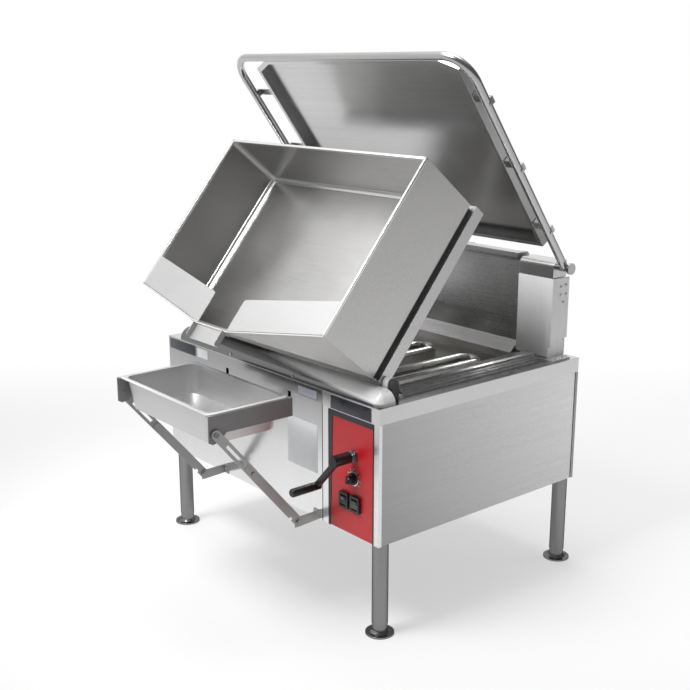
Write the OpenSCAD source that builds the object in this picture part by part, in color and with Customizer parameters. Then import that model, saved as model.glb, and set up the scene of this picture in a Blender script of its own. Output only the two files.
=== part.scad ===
// Tilting skillet: a floor-standing gas-heated braising pan with a crank tilt, a balanced lid
// and a fold-away rack for a receiving pan. Millimetres, +X right, +Y back, +Z up.
// The origin is on the floor, in the middle of the four feet. The pan stands part tilted
// and the lid stands open.

/* [Cabinet] */
// Width of the cabinet
cab_w = 1168; // [1140:1:1260]
// Depth of the cabinet
cab_d = 907; // [880:1:960]
// Height of the deck above the floor
deck_z = 735; // [715:1:760]
// Height of the cabinet's underside above the floor
base_z = 302; // [270:1:330]
// Sheet thickness of the cabinet panels
sheet = 2; // [1.5:0.5:3]
// Height of the deck's turned-down skirt
skirt_h = 50; // [35:1:70]
// Width of the sheet turned round each upright corner
corner_w = 12; // [8:1:20]
// Height of the bull nose above the deck
nose_h = 43; // [36:1:45]
// Depth of the bull nose, front to back
nose_d = 64; // [58:1:66]

/* [Legs] */
// Outside diameter of a leg tube
leg_d = 51; // [42:1:56]
// Distance from a leg's centre to the cabinet's side
leg_inset_x = 28; // [28:1:60]
// Distance from a leg's centre to the cabinet's front or back
leg_inset_y = 33; // [33:1:60]
// Diameter of a foot's flange
flange_d = 90; // [80:1:110]
// Thickness of a foot's flange
flange_t = 6; // [4:1:10]
// Radius of the circle of holes in a flange
flange_hole_ring = 33; // [31:1:36]
// Diameter of a hole in a flange
flange_hole_d = 9; // [7:0.5:11]

/* [Pan] */
// Outside width of the pan
pan_w = 1003; // [960:1:1010]
// Outside depth of the pan at its base, front to back
pan_d = 621; // [580:1:640]
// Height of the pan's walls
pan_h = 245; // [210:1:260]
// Wall thickness of the pan
pan_wall = 4; // [3:0.5:6]
// Thickness of the pan's floor plate
pan_floor = 6; // [5:0.5:12]
// Forward reach of the V-shaped front lip at the spout
lip_reach = 75; // [60:1:85]
// Clear width between the two splash wings, where the spout is
spout_gap = 164; // [140:1:180]
// Depth of a splash wing, front to back
wing_d = 113; // [90:1:130]
// Length of the spout in front of the lip
spout_len = 53; // [40:1:60]
// Height of the spout's cheeks
cheek_h = 20; // [14:1:24]
// Height of the insulated casing round the pan's base
casing_h = 42; // [36:1:44]
// Reach of the casing beyond the pan's walls
casing_out = 12; // [8:1:14]
// Height of the recess between the casing and the pan
recess_h = 15; // [10:1:16]
// Tilt of the pan as it stands, from level
pan_tilt = 50.6; // [45:0.2:56]
// Distance of the tilt axis behind the cabinet's front
pivot_in = 85.5; // [84:0.5:90]
// Height of the tilt axis above the deck
pivot_up = 54; // [52:1:60]
// Diameter of a trunnion pin
trunnion_d = 20; // [16:1:22]

/* [Lid] */
// Opening angle of the lid as it stands, from closed
lid_open = 53.6; // [48:0.2:60]
// Height of the lid hinge above the deck
hinge_up = 321; // [319:1:330]
// Distance of the lid hinge behind the middle of the cabinet
hinge_y = 352; // [349:1:356]
// Spacing between the centre lines of the lid's two side tubes
lid_tube_w = 1168; // [1168:1:1180]
// Length of the lid tube from the hinge to its front run
lid_tube_len = 830; // [780:1:850]
// Outside diameter of the lid tube
lid_tube_d = 27; // [22:1:30]
// Radius of the lid tube's front corners
lid_corner_r = 90; // [70:1:120]
// Width of the lid's sheet
lid_w = 1016; // [1012:1:1040]
// Length of the lid's sheet
lid_len = 736; // [690:1:744]
// Depth of the lid's turned edges
lid_edge_h = 30; // [24:1:40]
// Height of the lid sheet's edges above the tube's centre line
lid_lift = 20; // [18:1:26]

/* [Hinge towers] */
// Width of a hinge tower
tower_w = 150; // [120:1:155]
// Depth of a hinge tower
tower_d = 84; // [84:1:90]
// Height of a tower's housing above the deck
tower_h = 279; // [277:1:285]
// Height of a tower's cap
cap_h = 55; // [53:1:60]
// Distance from a tower's outer face to the centre line of the lid's side tube
tower_inset = 34; // [34:1:50]

/* [Receiving pan and rack] */
// Length of the receiving pan over its rim, side to side
tray_w = 527; // [480:1:530]
// Depth of the receiving pan over its rim, front to back
tray_l = 290; // [265:1:300]
// Depth of the receiving pan
tray_h = 100; // [65:1:102]
// Height of the receiving pan's rim above the floor
tray_z = 728; // [715:1:735]
// Distance from the receiving pan's front to the cabinet's front
tray_out = 398; // [390:1:410]
// Sideways place of the receiving pan's middle
tray_x = 31.5; // [20:0.5:45]
// Height of a rack rail's side
rail_h = 58; // [50:1:64]
// Width of the support arms
arm_w = 30; // [26:1:34]
// Thickness of the support arms
arm_t = 3.5; // [3:0.5:4]

/* [Controls] */
// Sideways place of the crank shaft
crank_x = 470; // [462:1:476]
// Height of the crank shaft above the floor
crank_z = 562; // [540:1:580]
// Throw of the crank arm
crank_throw = 154; // [130:1:160]
// Turn of the crank arm below level, as it stands
crank_rest = 47; // [30:1:60]
// Width of the red control panel
red_w = 200; // [190:1:204]
// Height of the red control panel
red_h = 364; // [350:1:370]
// Diameter of the thermostat knob
knob_d = 40; // [34:1:46]

/* [Hidden] */
$fn = 64;

// Shared places and running gaps
run_gap = 0.06;   // radial clearance of a pin in its hole
face_gap = 0.5;   // gap between faces of different bodies
seat_gap = 0.3;   // gap under what rests loosely on a seat
side_x = cab_w / 2;
front_y = -cab_d / 2;
back_y = cab_d / 2;
eps = 0.01;
lap = 22;         // width of the panels' turned-in edges
steel = [0.72, 0.73, 0.73];
bright = [0.85, 0.86, 0.86];
dark = [0.25, 0.25, 0.26];
black = [0.06, 0.06, 0.07];
red = [0.74, 0.11, 0.12];

// Legs
leg_x = side_x - leg_inset_x;
leg_y = cab_d / 2 - leg_inset_y;
leg_bottom = 34;
leg_wall = 2;
plug_h = 24;
stud_d = 20;
plate_w = 90;

// Front of the cabinet
seam_x = 320;
bezel_t = 14;
red_x = side_x - 25 - red_w / 2;
red_z = base_z + 3 + red_h / 2;
slot_size = [16, 24];
slot_x = [-202, 151];
slot_z = deck_z - 55;

// Pan place. Pan coordinates: X across, Y from the front of the base backwards, Z up from the base.
pivot_y = front_y + pivot_in;
pivot_z = deck_z + pivot_up;
pivot_u = 14;
pivot_v = -40;
casing_w = pan_w + 2 * casing_out;
casing_v = -recess_h - casing_h;

// Well
well_inset = 35.5;   // how far the well's sides lie inside the pan's walls
well_w = pan_w - 2 * well_inset;
well_front = -300;
well_back = 352;
well_floor_z = deck_z - 35;
rail_w = 68;
rail_back = 307;
curb_h = 29;

// Lid
hinge_z = deck_z + hinge_up;
lid_back = 64;
lid_tube_wall = 2;
pin_d = 16;

// Towers
tower_x = lid_tube_w / 2 - tower_inset - tower_w / 2;
tower_y = hinge_y - 12 + tower_d / 2;

// Rack. The arms run from the brackets at the cabinet's foot up to the front of the rails.
tray_front = front_y - tray_out;
rail_x = tray_w / 2 + 2;
rail_t = 3;
rail_z = tray_z - 3;
foot_y = front_y - 85;
foot_z = base_z + 16;
top_y = tray_front + 18;
top_z = rail_z - 57;
arm_angle = atan2(top_z - foot_z, foot_y - top_y);
arm_len = norm([top_y - foot_y, top_z - foot_z]);
bar_len = 271;
bolt_d = 8;
arm_x = rail_x + rail_t + face_gap;

// Crank
hub_y = front_y - 56;
crank_end = front_y - 84;
shaft_d = 16;
grip_len = 76;
grip_x = crank_x - crank_throw * cos(crank_rest);
grip_z = crank_z - crank_throw * sin(crank_rest);
panel_proud = 0.8;
knob_x = 471;
knob_z = 490;
rocker_size = [26, 36];
rocker_x = [431, 483];
rocker_z = 410;

module at_four(x, y) {
    for (sx = [-1, 1], sy = [-1, 1])
        translate([sx * x, sy * y, 0])
            children();
}

module both_sides() {
    children();
    mirror([1, 0, 0])
        children();
}

module box(lo, hi) {
    translate(lo)
        cube(hi - lo);
}

// A cylinder along X, from x0 to x1
module bar_x(x0, x1, y, z, d) {
    translate([x0, y, z])
        rotate([0, 90, 0])
            cylinder(h = x1 - x0, d = d);
}

// A cylinder along Y, from y0 to y1
module bar_y(x, y0, y1, z, d) {
    translate([x, y0, z])
        rotate([-90, 0, 0])
            cylinder(h = y1 - y0, d = d);
}

// A YZ outline given a thickness along X
module plate_x(x0, t) {
    translate([x0, 0, 0])
        rotate([90, 0, 90])
            linear_extrude(height = t)
                children();
}

module rounded_rect(w, h, r) {
    for (sx = [-1, 1], sy = [-1, 1])
        translate([sx * (w / 2 - r), sy * (h / 2 - r)])
            circle(r = r);
    square([w - 2 * r, h], center = true);
    square([w, h - 2 * r], center = true);
}

module tilt_pan() {
    translate([0, pivot_y, pivot_z])
        rotate([pan_tilt, 0, 0])
            translate([0, -pivot_u, -pivot_v])
                children();
}

// Lid coordinates: X across, Y from the hinge towards the front tube, Z away from the pan
module open_lid() {
    translate([0, hinge_y, hinge_z])
        rotate([0, 0, 180])
            rotate([lid_open, 0, 0])
                children();
}

module side_panel() {
    box([side_x - 2 * sheet, front_y + corner_w + 1, base_z],
        [side_x - sheet, back_y - corner_w - 1, deck_z - sheet]);
}

module side_panel_right() {
    color(steel)
        side_panel();
}

module side_panel_left() {
    color(steel)
        mirror([1, 0, 0])
            side_panel();
}

module front_panel() {
    color(bright)
        difference() {
            union() {
                box([-side_x, front_y, base_z], [seam_x - 2, front_y + sheet, deck_z - sheet]);
                box([-side_x, front_y, base_z], [-side_x + sheet, front_y + corner_w, deck_z - skirt_h]);
                box([-side_x + 2 * sheet + seat_gap, front_y + sheet, base_z], [seam_x - 2, front_y + lap, base_z + sheet]);
                box([seam_x - 4, front_y + sheet, base_z], [seam_x - 2, front_y + lap, deck_z - sheet]);
            }
            for (x = slot_x)
                translate([x - slot_size[0] / 2, front_y - 1, slot_z - slot_size[1] / 2])
                    cube([slot_size[0], 30, slot_size[1]]);
        }
}

module control_frame() {
    color(bright)
        difference() {
            union() {
                box([seam_x, front_y, base_z], [side_x, front_y + sheet, deck_z - sheet]);
                box([side_x - sheet, front_y, base_z], [side_x, front_y + corner_w, deck_z - skirt_h]);
                box([seam_x, front_y + sheet, base_z], [seam_x + sheet, front_y + lap, deck_z - sheet]);
            }
            translate([red_x - red_w / 2, front_y - 1, red_z - red_h / 2])
                cube([red_w, sheet + 2, red_h]);
        }
}

module back_panel() {
    color(steel)
        difference() {
            union() {
                box([-side_x, back_y - sheet, base_z], [side_x, back_y, deck_z - skirt_h]);
                both_sides()
                    box([side_x - sheet, back_y - corner_w, base_z], [side_x, back_y, deck_z - skirt_h]);
            }
            bar_y(gas_x, back_y - 3, back_y + 1, gas_z, gas_pipe_d + 6);
            bar_y(gland_x, back_y - 3, back_y + 1, gas_z, gland_d);
            for (i = [-4:4])
                translate([i * 90 - 30, back_y - 3, base_z + 210])
                    cube([60, 4, 8]);
        }
}

module base_pan() {
    color(steel)
        difference() {
            union() {
                box([-side_x + 2 * sheet, front_y + lap, base_z], [side_x - 2 * sheet, back_y - sheet, base_z + sheet]);
                for (y = [-150, 150])
                    box([-side_x + 30, y - 20, base_z + sheet], [side_x - 30, y + 20, base_z + sheet + 18]);
            }
            at_four(leg_x, leg_y)
                bar_z(0, 0, base_z - 1, base_z + sheet + 1, stud_d + 2 * run_gap);
            bar_z(stub_x, stub_y, base_z - 1, base_z + 5, stub_d - 4);
        }
    color(black)
        difference() {
            bar_z(stub_x, stub_y, base_z - 12, base_z, stub_d);
            bar_z(stub_x, stub_y, base_z - 13, base_z + 1, stub_d - 4);
        }
}

stub_x = side_x - 34;
stub_y = front_y + 118;
stub_d = 22;

module bar_z(x, y, z0, z1, d) {
    translate([x, y, z0])
        cylinder(h = z1 - z0, d = d);
}

// The deck is cut out over the well and turned down at the sides and the back
module deck() {
    color(steel)
        difference() {
            union() {
                box([-side_x, front_y, deck_z - sheet], [side_x, back_y, deck_z]);
                both_sides()
                    box([side_x - sheet, front_y + sheet, deck_z - skirt_h], [side_x, back_y, deck_z]);
                box([-side_x, back_y - sheet, deck_z - skirt_h], [side_x, back_y, deck_z]);
            }
            box([-well_w / 2, well_front, deck_z - 5], [well_w / 2, well_back, deck_z + 1]);
            box([chain_x - 1, pivot_y - 14, deck_z - 5], [chain_x + chain_t + 1, pivot_y + 14, deck_z + 1]);
        }
}

module nose_profile(inset) {
    r = nose_h - inset;
    intersection() {
        union() {
            translate([nose_h, 0])
                circle(r = r);
            translate([nose_h, 0])
                square([nose_d - nose_h - inset, r]);
        }
        translate([0, -eps * (inset > 0 ? 100 : 0)])
            square([nose_d, nose_h]);
    }
}

module nose_end_profile(inset) {
    r = nose_h - inset;
    for (s = [-1, 1])
        intersection() {
            translate([s * (side_x - nose_h), 0])
                circle(r = r);
            translate([-side_x, 0])
                square([cab_w, nose_h]);
        }
    translate([-side_x + nose_h, 0])
        square([cab_w - 2 * nose_h, r]);
}

module nose_form(inset) {
    intersection() {
        translate([-side_x, front_y, deck_z])
            rotate([90, 0, 90])
                linear_extrude(height = cab_w)
                    nose_profile(inset);
        translate([0, front_y + nose_d + 1, deck_z])
            rotate([90, 0, 0])
                linear_extrude(height = nose_d + 2)
                    nose_end_profile(inset);
    }
}

module bull_nose() {
    color(bright)
        difference() {
            nose_form(0);
            translate([0, 0, -eps])
                nose_form(sheet);
        }
}

// Stepped section of a curb rail: X outwards from the well, Y up from the deck
module curb_profile() {
    polygon([[0, 0], [0, curb_h - 5], [2, curb_h - 1.5], [6, curb_h], [30, curb_h - 1], [38, curb_h - 5],
             [41, curb_h - 12], [48, curb_h - 13], [50, 12], [57, 11], [59, 5], [rail_w, 4], [rail_w, 0]]);
}

module curb_rails() {
    color(steel)
        both_sides()
            translate([well_w / 2 + 4, rail_back, deck_z])
                rotate([90, 0, 0])
                    linear_extrude(height = rail_back - well_front + 12)
                        curb_profile();
}

// The tray-like lining of the well, hung by a lip on the deck
module well_liner() {
    color(bright)
        difference() {
            box([-well_w / 2, well_front, well_floor_z - sheet], [well_w / 2, well_back, deck_z]);
            box([-well_w / 2 + sheet, well_front + sheet, well_floor_z],
                [well_w / 2 - sheet, well_back - sheet, deck_z + 1]);
            for (x = burner_x, s = [-1, 1])
                bar_z(x + s * loop_pitch / 2, gas_riser_y, well_floor_z - 5, well_floor_z + 1, riser_d + 1);
        }
}

module legs() {
    color(steel)
        at_four(leg_x, leg_y)
            difference() {
                bar_z(0, 0, leg_bottom, base_z, leg_d);
                bar_z(0, 0, leg_bottom - 1, base_z + 1, leg_d - 2 * leg_wall);
            }
}

// Plugs in the legs' upper ends, each with a stud up to a plate inside the cabinet
module leg_sockets() {
    color(dark)
        at_four(leg_x, leg_y) {
            bar_z(0, 0, base_z - plug_h, base_z, leg_d - 2 * leg_wall - 2 * run_gap);
            bar_z(0, 0, base_z - 1, base_z + sheet + 1, stud_d);
        }
    color(dark)
        for (sx = [-1, 1], sy = [-1, 1])
            mirror([sx > 0 ? 0 : 1, 0, 0])
                mirror([0, sy > 0 ? 0 : 1, 0])
                    box([leg_x - plate_w / 2, leg_y - plate_w / 2, base_z + sheet],
                        [leg_x + stud_d / 2, leg_y + stud_d / 2, base_z + sheet + 6]);
}

module flanged_feet() {
    color(steel)
        for (sx = [-1, 1], sy = [-1, 1])
            translate([sx * leg_x, sy * leg_y, 0])
                mirror([sx > 0 ? 0 : 1, 0, 0])
                    difference() {
                        union() {
                            cylinder(h = flange_t, d = flange_d);
                            translate([0, 0, flange_t])
                                cylinder(h = 8, d1 = leg_d + 10, d2 = leg_d - 3);
                            cylinder(h = leg_bottom, d = leg_d - 3);
                            cylinder(h = leg_bottom + plug_h, d = leg_d - 2 * leg_wall - 2 * run_gap);
                        }
                        for (a = [60, 180, 300])
                            rotate([0, 0, a])
                                translate([flange_hole_ring, 0, -1])
                                    cylinder(h = flange_t + 20, d = flange_hole_d);
                    }
}

// Burners: four hairpin loops lying front to back on risers
burner_x = [-330, -110, 110, 330];
loop_pitch = 82;
loop_r = 16;
loop_front = -238;
loop_back = 158;
loop_h = 38;
riser_d = 22;
gas_riser_y = loop_front + riser_d / 2;

// Section of a loop's wall: a flat-sided channel with a rounded crown
module loop_section() {
    translate([0, loop_h - loop_r])
        circle(r = loop_r);
    translate([-loop_r, 0])
        square([2 * loop_r, loop_h - loop_r]);
}

module burner_loop() {
    for (s = [-1, 1])
        translate([s * loop_pitch / 2, loop_back, 0])
            rotate([90, 0, 0])
                linear_extrude(height = loop_back - loop_front)
                    loop_section();
    translate([0, loop_back, 0])
        rotate_extrude(angle = 180)
            translate([loop_pitch / 2, 0])
                loop_section();
    for (s = [-1, 1])
        bar_z(s * loop_pitch / 2, gas_riser_y, -20, 2, riser_d);
    difference() {
        box([-loop_pitch / 2 + loop_r - 0.5, loop_front + 14, 0], [loop_pitch / 2 - loop_r + 0.5, loop_front + 26, 18]);
        bar_z(0, loop_front + 20, -20, 30, 5);
    }
}

module burner_loops() {
    color(bright)
        for (x = burner_x)
            translate([x, 0, well_floor_z])
                difference() {
                    burner_loop();
                    for (s = [-1, 1], i = [0:8])
                        translate([s * (loop_pitch / 2 + loop_r), loop_front + 60 + i * 36, loop_h - loop_r - 2])
                            cube([3, 20, 5], center = true);
                }
}

manifold_d = 38;
supply_d = 30;
manifold_z = well_floor_z - 20 - manifold_d / 2;
manifold_end = burner_x[3] + 80;
gas_x = -300;
gas_z = 420;
gas_pipe_d = 26.7;
gland_x = 300;
gland_d = 22;

module gas_manifold() {
    color(dark) {
        bar_x(-manifold_end, manifold_end, gas_riser_y, manifold_z, manifold_d);
        bar_x(valve_x + valve_w / 2, -manifold_end, gas_riser_y, manifold_z, supply_d);
        for (s = [-1, 1])
            box([s * strap_x - 15, front_y + sheet, manifold_z - manifold_d / 2 - 3],
                [s * strap_x + 15, gas_riser_y, manifold_z - manifold_d / 2 + 3]);
    }
}

strap_x = 220;
valve_w = 60;
valve_x = -well_w / 2 - 34;

module gas_valve() {
    color(steel)
        difference() {
            union() {
                box([valve_x - valve_w / 2, loop_front - 25, manifold_z - 35],
                    [valve_x + valve_w / 2, loop_front + 45, manifold_z + 22]);
                bar_z(valve_x, loop_front + 10, manifold_z + 22, manifold_z + 34, 34);
                box([valve_x - 19, loop_front - 15, base_z + sheet], [valve_x + 19, loop_front + 35, manifold_z - 35]);
            }
            bar_x(valve_x + 10, valve_x + valve_w, gas_riser_y, manifold_z, supply_d + 1);
        }
}

module gas_inlet() {
    color(dark) {
        bar_y(gas_x, back_y - 120, back_y + 30, gas_z, gas_pipe_d);
        bar_y(gas_x, back_y, back_y + 8, gas_z, gas_pipe_d + 12);
        bar_x(valve_x, gas_x, back_y - 120, gas_z, gas_pipe_d);
        bar_y(valve_x, loop_front + 45, back_y - 120 + gas_pipe_d / 2, gas_z, gas_pipe_d);
        bar_z(valve_x, loop_front + 45 + gas_pipe_d / 2, gas_z, manifold_z, gas_pipe_d);
    }
}

module cord_gland() {
    color(black)
        difference() {
            union() {
                bar_y(gland_x, back_y - 14, back_y + 10, gas_z, gland_d - 1);
                bar_y(gland_x, back_y, back_y + 6, gas_z, gland_d + 8);
            }
            bar_y(gland_x, back_y - 15, back_y + 11, gas_z, 10);
        }
}

// Flue riser between the towers: YZ outline of its front, back and lip
riser_x = tower_x - tower_w / 2 - 8;
riser_top = deck_z + 347;
riser_y = 352;
riser_back = 440;
outlet_pitch = (2 * riser_x - 19) / 3;
outlet_w = outlet_pitch - 29;

module riser_outline() {
    polygon([[riser_y - 32, deck_z], [riser_y, deck_z + 32], [riser_y + 5, deck_z + 39],
             [riser_y, deck_z + 118], [riser_y, riser_top - 18], [riser_y - 13, riser_top - 16],
             [riser_y - 13, riser_top], [riser_y + 40, riser_top], [riser_back, riser_top - 60],
             [riser_back, deck_z]]);
}

module flue_riser() {
    color(steel)
        difference() {
            plate_x(-riser_x, 2 * riser_x)
                riser_outline();
            translate([-riser_x + 3, riser_y + 22, deck_z - 1])
                cube([2 * riser_x - 6, 62, riser_top - deck_z - 62]);
            for (i = [-1:1])
                translate([i * outlet_pitch - outlet_w / 2, riser_y + 30, deck_z + 200])
                    cube([outlet_w, 30, riser_top]);
        }
}

module tower_housing() {
    lo_z = deck_z + 10;
    difference() {
        box([tower_x - tower_w / 2, tower_y - tower_d / 2, lo_z],
            [tower_x + tower_w / 2, tower_y + tower_d / 2, deck_z + tower_h]);
        box([tower_x - tower_w / 2 + sheet, tower_y - tower_d / 2 + sheet, lo_z - 1],
            [tower_x + tower_w / 2 - sheet, tower_y + tower_d / 2 - sheet, deck_z + tower_h - sheet]);
        // chamfered opening at the outer foot
        translate([0, tower_y - tower_d / 2, deck_z])
            plate_x(tower_x + tower_w / 2 - 9, 20)
                polygon([[-1, 0], [-1, 43], [28, 70], [tower_d + 1, 70], [tower_d + 1, 0]]);
        box([tower_x - 34, tower_y - 20, deck_z + tower_h - 5], [tower_x + 60, tower_y + 20, deck_z + tower_h + 1]);
    }
}

module tower_housings() {
    color(steel)
        both_sides()
            tower_housing();
}

cap_gap = 3;
bracket_top = deck_z + tower_h - 6;
cap_w = tower_w - 4;
cap_d = 66;

// The cap carries the lid's hinge pin in its outer wall
module tower_cap() {
    z0 = deck_z + tower_h + cap_gap;
    y0 = tower_y - tower_d / 2 + 1;
    difference() {
        union() {
            translate([tower_x - cap_w / 2, 0, 0])
                rotate([90, 0, 90])
                    linear_extrude(height = cap_w)
                        translate([y0, z0])
                            cap_outline();
            box([tower_x - 30, tower_y - 18, bracket_top], [tower_x + 56, tower_y + 18, z0 + 4]);
        }
        bar_x(tower_x - 60, sleeve_x0 + 1, hinge_y, hinge_z, pin_d + 2 * run_gap);
    }
}

module cap_outline() {
    r = 20;
    translate([r, cap_h - r])
        circle(r = r);
    square([cap_d, cap_h - r]);
    translate([r, 0])
        square([cap_d - r, cap_h]);
}

module tower_caps() {
    color(steel)
        both_sides()
            tower_cap();
}

// Each bracket is a foot plate bolted to the deck and an upright inside the housing
module tower_bracket() {
    x1 = tower_x + tower_w / 2;
    y0 = tower_y - tower_d / 2 + sheet + seat_gap;
    y1 = tower_y + tower_d / 2 - sheet - seat_gap;
    box([tower_x - 55, y0, deck_z], [x1 + 20, y1, deck_z + 5]);
    box([x1 - 14, y0, deck_z + 5], [x1 - 10, y1, bracket_top]);
    box([tower_x - 55, y0, deck_z + 5], [tower_x - 51, y1, bracket_top]);
    box([tower_x - 55, y0, bracket_top - 4], [x1 - 10, y1, bracket_top]);
    for (y = [y0 + 12, tower_y, y1 - 12])
        bar_z(x1 + 9, y, deck_z + 5, deck_z + 11, 12);
}

module tower_brackets() {
    color(steel)
        both_sides()
            tower_bracket();
}

spring_pitch = 12;
spring_turns = 7;
spring_d = 44;
spring_l = tower_w / 2 - 14 + 51;

// Torsion springs that balance the lid, with rings that stand for their turns
module lid_springs() {
    color(dark)
        both_sides()
            translate([tower_x - 51, tower_y, deck_z + tower_h - 60]) {
                rotate([0, 90, 0])
                    difference() {
                        cylinder(h = spring_l, d = spring_d - 12);
                        translate([0, 0, -1])
                            cylinder(h = spring_l + 2, d = spring_d - 20);
                    }
                for (i = [0:spring_turns - 1])
                    translate([i * spring_pitch + 12, 0, 0])
                        rotate([0, 90, 0])
                            rotate_extrude()
                                translate([spring_d / 2 - 3, 0])
                                    circle(r = 4, $fn = 24);
            }
}

block_t = 22;
block_x0 = casing_w / 2 + 4;

// Bearing blocks at the two ends of the tilt axis
module bearing_blocks() {
    color(dark)
        both_sides()
            difference() {
                union() {
                    box([block_x0, pivot_y - 15, deck_z], [block_x0 + block_t, pivot_y + 15, pivot_z]);
                    bar_x(block_x0, block_x0 + block_t, pivot_y, pivot_z, 30);
                    box([block_x0, pivot_y - 15, deck_z], [block_x0 + block_t, pivot_y + 48, deck_z + 8]);
                }
                bar_x(block_x0 - 1, block_x0 + block_t + 1, pivot_y, pivot_z, trunnion_d + 2 * run_gap);
            }
}

chain_x = block_x0 + block_t + 1;
chain_t = 18;

// Closed case of the chain that turns the right trunnion
module chain_case() {
    color(dark)
        difference() {
            union() {
                box([chain_x, pivot_y - 13, gear_z1 - 60], [chain_x + chain_t, pivot_y + 13, pivot_z]);
                bar_x(chain_x, chain_x + chain_t, pivot_y, pivot_z, 26);
                bar_x(crank_x + gear_out, chain_x, pivot_y, gear_z1 - 36, 24);
            }
            bar_x(chain_x - 1, chain_x + 9, pivot_y, pivot_z, trunnion_d + 2 * run_gap);
        }
}

gear_z0 = crank_z - 42;
gear_z1 = crank_z + 70;
gear_in = 48;
gear_out = 14;

// Closed worm box behind the control panel
module tilt_gearbox() {
    color(dark)
        difference() {
            union() {
                box([crank_x - gear_in, front_y + 40, gear_z0], [crank_x + gear_out, pivot_y + 30, gear_z1]);
                bar_y(crank_x, front_y + 30, front_y + 40, crank_z, 44);
                box([crank_x - gear_in + 8, front_y + 66, base_z + sheet], [crank_x + gear_out - 8, pivot_y + 12, gear_z0]);
            }
            bar_y(crank_x, front_y, front_y + 70, crank_z, shaft_d + 2 * run_gap);
        }
}

module crank_bush() {
    color(black)
        difference() {
            union() {
                bar_y(crank_x, front_y - 7, front_y + 14, crank_z, 27);
                bar_y(crank_x, front_y - 7, front_y - panel_proud, crank_z, 38);
            }
            bar_y(crank_x, front_y - 8, front_y + 15, crank_z, shaft_d + 2 * run_gap);
        }
}

// Black frame round the red panel
module control_bezel() {
    color(black) {
        box([red_x - red_w / 2 - 22, front_y - 2, red_z + red_h / 2 - 1],
            [red_x + red_w / 2 + 2, front_y, red_z + red_h / 2 + bezel_t]);
        box([red_x - red_w / 2 - 22, front_y - 2, base_z + 1], [red_x - red_w / 2, front_y, red_z + red_h / 2 - 1]);
        box([red_x + red_w / 2 - 1, front_y - 2, base_z + 1], [red_x + red_w / 2 + 2, front_y, red_z + red_h / 2 - 1]);
    }
}

module control_panel() {
    color(red)
        difference() {
            box([red_x - red_w / 2, front_y - panel_proud, red_z - red_h / 2],
                [red_x + red_w / 2 - 1, front_y + sheet, red_z + red_h / 2 - 1]);
            bar_y(crank_x, front_y - 2, front_y + 5, crank_z, 27);
            bar_y(knob_x, front_y - 2, front_y + 5, knob_z, 12);
            for (x = rocker_x)
                translate([x, front_y, rocker_z])
                    cube([rocker_size[0] + 4, 20, rocker_size[1] + 4], center = true);
        }
}

module thermostat_body() {
    color(dark)
        difference() {
            union() {
                box([knob_x - 26, front_y + 8, knob_z - 22], [knob_x + 26, front_y + 62, knob_z + 22]);
                bar_y(knob_x, front_y + sheet, front_y + 8, knob_z, 30);
            }
            bar_y(knob_x, front_y, front_y + 40, knob_z, 6 + 2 * run_gap);
        }
}

// Raised guards round the two rocker switches, with the switch boxes behind them
module switch_guards() {
    color(black)
        for (x = rocker_x)
            difference() {
                union() {
                    translate([x, front_y - 5.8, rocker_z])
                        rotate([90, 0, 0])
                            linear_extrude(height = 10, center = true)
                                rounded_rect(rocker_size[0] + 16, rocker_size[1] + 16, 4);
                    translate([x, front_y + 12, rocker_z])
                        cube([rocker_size[0] + 3, 26, rocker_size[1] + 3], center = true);
                }
                translate([x, front_y - 6, rocker_z])
                    cube([rocker_size[0], 20, rocker_size[1]], center = true);
                bar_x(x - 20, x + 20, front_y - 2, rocker_z, rocker_pin_d + 2 * run_gap);
            }
}

rocker_pin_d = 5;

// Brackets that stand out from the foot of the front and carry the arms
module rack_bracket() {
    difference() {
        plate_x(arm_x - face_gap - rail_t, rail_t) {
            polygon([[front_y, base_z], [front_y, base_z + 30], [foot_y, foot_z + 12],
                     [foot_y - 12, foot_z], [foot_y - 10, base_z - 4], [foot_y + 10, base_z - 4]]);
            translate([foot_y, foot_z])
                circle(d = 24);
        }
        bar_x(arm_x - 10, arm_x + 10, foot_y, foot_z, bolt_d);
    }
    difference() {
        box([arm_x - face_gap - 26, front_y - 2.5, base_z], [arm_x - face_gap, front_y, base_z + 30]);
        bar_y(arm_x - face_gap - 15, front_y - 5, front_y + 1, base_z + 15, 6);
    }
    bar_x(arm_x - face_gap - rail_t - 4, arm_x - face_gap - rail_t, foot_y, foot_z, 15);
    bar_x(arm_x - face_gap - rail_t, arm_x + arm_t + 1, foot_y, foot_z, bolt_d);
    bar_x(arm_x + arm_t + 1, arm_x + arm_t + 5, foot_y, foot_z, 15);
}

module rack_sides() {
    translate([tray_x, 0, 0])
        both_sides()
            children();
}

module rack_brackets() {
    color(steel)
        rack_sides()
            rack_bracket();
}

nose_screw_x = [-500, -180, 168, 480];

module panel_screws() {
    color(steel) {
        for (x = nose_screw_x)
            bar_y(x, front_y - 3, front_y, deck_z - 12, 9);
        rack_sides()
            bar_y(arm_x - face_gap - 15, front_y - 6, front_y - 2.5, base_z + 15, 10);
    }
}

// Half of the V-shaped rim outline, mirrored across the middle
module rim_outline(w, back, reach, mid) {
    polygon([[-w / 2, 0], [-mid / 2, -reach], [mid / 2, -reach], [w / 2, 0], [w / 2, back], [-w / 2, back]]);
}

// A box whose front leans out to the V-shaped lip
module pan_form(w, front, back, low, high, reach) {
    hull() {
        translate([-w / 2, front, low])
            cube([w, back - front, eps]);
        translate([0, front, high - eps])
            linear_extrude(height = eps)
                rim_outline(w, back - front, reach, spout_gap);
    }
}

module pan_shell() {
    color(steel)
        tilt_pan()
            difference() {
                pan_form(pan_w, 0, pan_d, 0, pan_h, lip_reach);
                pan_form(pan_w - 2 * pan_wall, pan_wall, pan_d - pan_wall, pan_floor, pan_h + 1, lip_reach);
            }
}

wing_t = 3;
wing_gap = 1.6;   // gap between a wing and the lip in front of it
wing_r = 12;

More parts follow.
